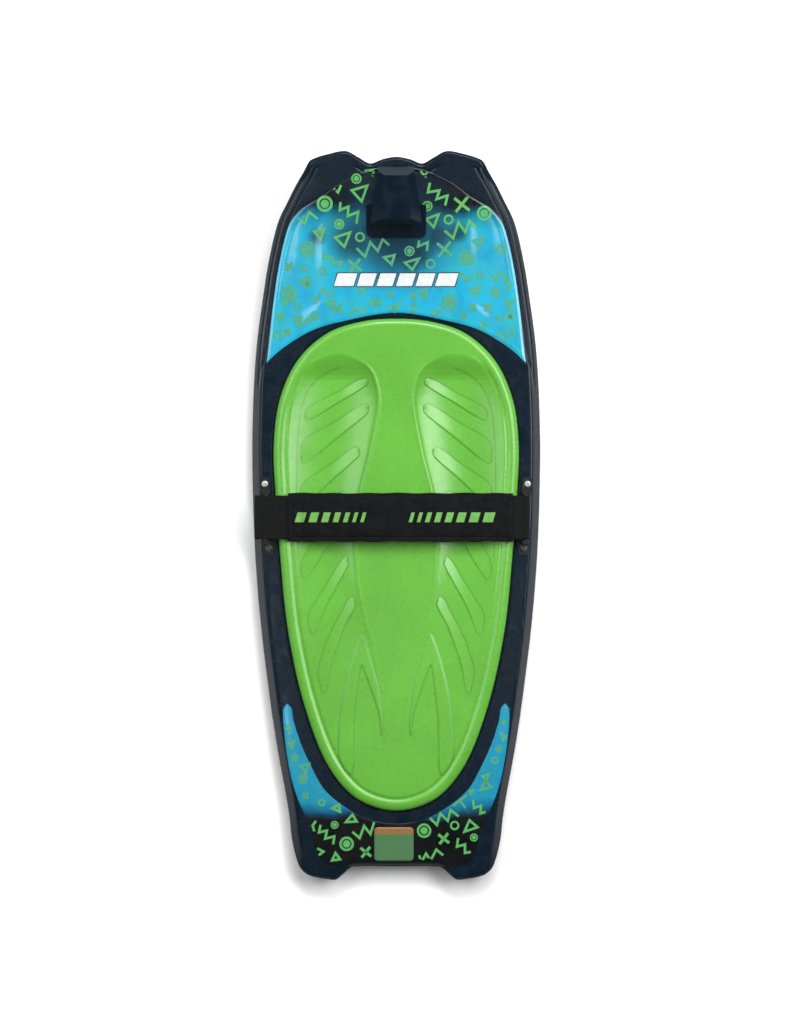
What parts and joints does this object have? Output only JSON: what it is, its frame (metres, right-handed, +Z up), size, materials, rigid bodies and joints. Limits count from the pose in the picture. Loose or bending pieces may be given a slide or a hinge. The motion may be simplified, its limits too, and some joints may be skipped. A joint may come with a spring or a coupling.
{
  "type": "kneeboard",
  "caption": "Towable kneeboard: flat hull with upturned nose, moulded knee pad with two wells, padded hook-and-loop thigh strap and a moulded tow hook.",
  "frame": {"origin": "under the middle of the board, on the plane its flat belly rests on", "axes": "+Y to the nose, +Z up out of the deck, +X to the side where the strap is sewn on"},
  "size_m": [0.5056, 1.27, 0.1211],
  "materials": {
    "hull": "satin rotomoulded polyethylene",
    "foam": "rigid polyurethane foam",
    "pad_foam": "soft closed-cell foam with a moulded skin",
    "nose_film": "printed film, blue and green, black at the nose",
    "tail_film": "printed film, blue and green, black at the tail",
    "label_film": "blank label",
    "hook_plastic": "satin moulded plastic",
    "bracket_plastic": "fine-grained nylon",
    "steel": "stainless steel",
    "brass": "plain",
    "webbing": "woven nylon webbing",
    "hook_and_loop": "hook and loop tape",
    "sleeve_fabric": "woven nylon over foam",
    "sleeve_foam": "soft foam",
    "plug_plastic": "moulded nylon",
    "gasket_rubber": "moulded rubber"
  },
  "bodies": {
    "board": {"hull_shell": "hull", "foam_core": "foam", "knee_pad": "pad_foam", "nose_graphic": "nose_film", "tail_graphic": "tail_film", "blank_label": "label_film", "tow_hook": "hook_plastic", "left_strap_bracket": "bracket_plastic", "right_strap_bracket": "bracket_plastic", "left_bracket_screws": "steel", "right_bracket_screws": "steel", "left_bracket_washers": "steel", "right_bracket_washers": "steel", "left_threaded_inserts": "brass", "right_threaded_inserts": "brass", "anchor_loop": "webbing", "loop_tape": "hook_and_loop", "fill_plug": "plug_plastic", "vent_plug": "plug_plastic", "plug_gaskets": "gasket_rubber"},
    "strap": {"strap_band": "webbing"},
    "pull_tab": {"pull_tab": "webbing", "hook_tape": "hook_and_loop"},
    "sleeve": {"sleeve_cover": "sleeve_fabric", "sleeve_foam": "sleeve_foam"}
  },
  "joints": [
    {"name": "strap_swing", "type": "hinge", "parent": "board", "child": "strap", "pos_m": [0.226, 0, 0.06], "axis": [0, 1, 0], "range_deg": [0, 150]},
    {"name": "tab_peel", "type": "hinge", "parent": "strap", "child": "pull_tab", "pos_m": [-0.2, 0, 0.07095], "axis": [0, 1, 0], "range_deg": [0, 100]},
    {"name": "sleeve_slide", "type": "slide", "parent": "strap", "child": "sleeve", "axis": [1, 0, 0], "range_m": [-0.006, 0.005]}
  ]
}
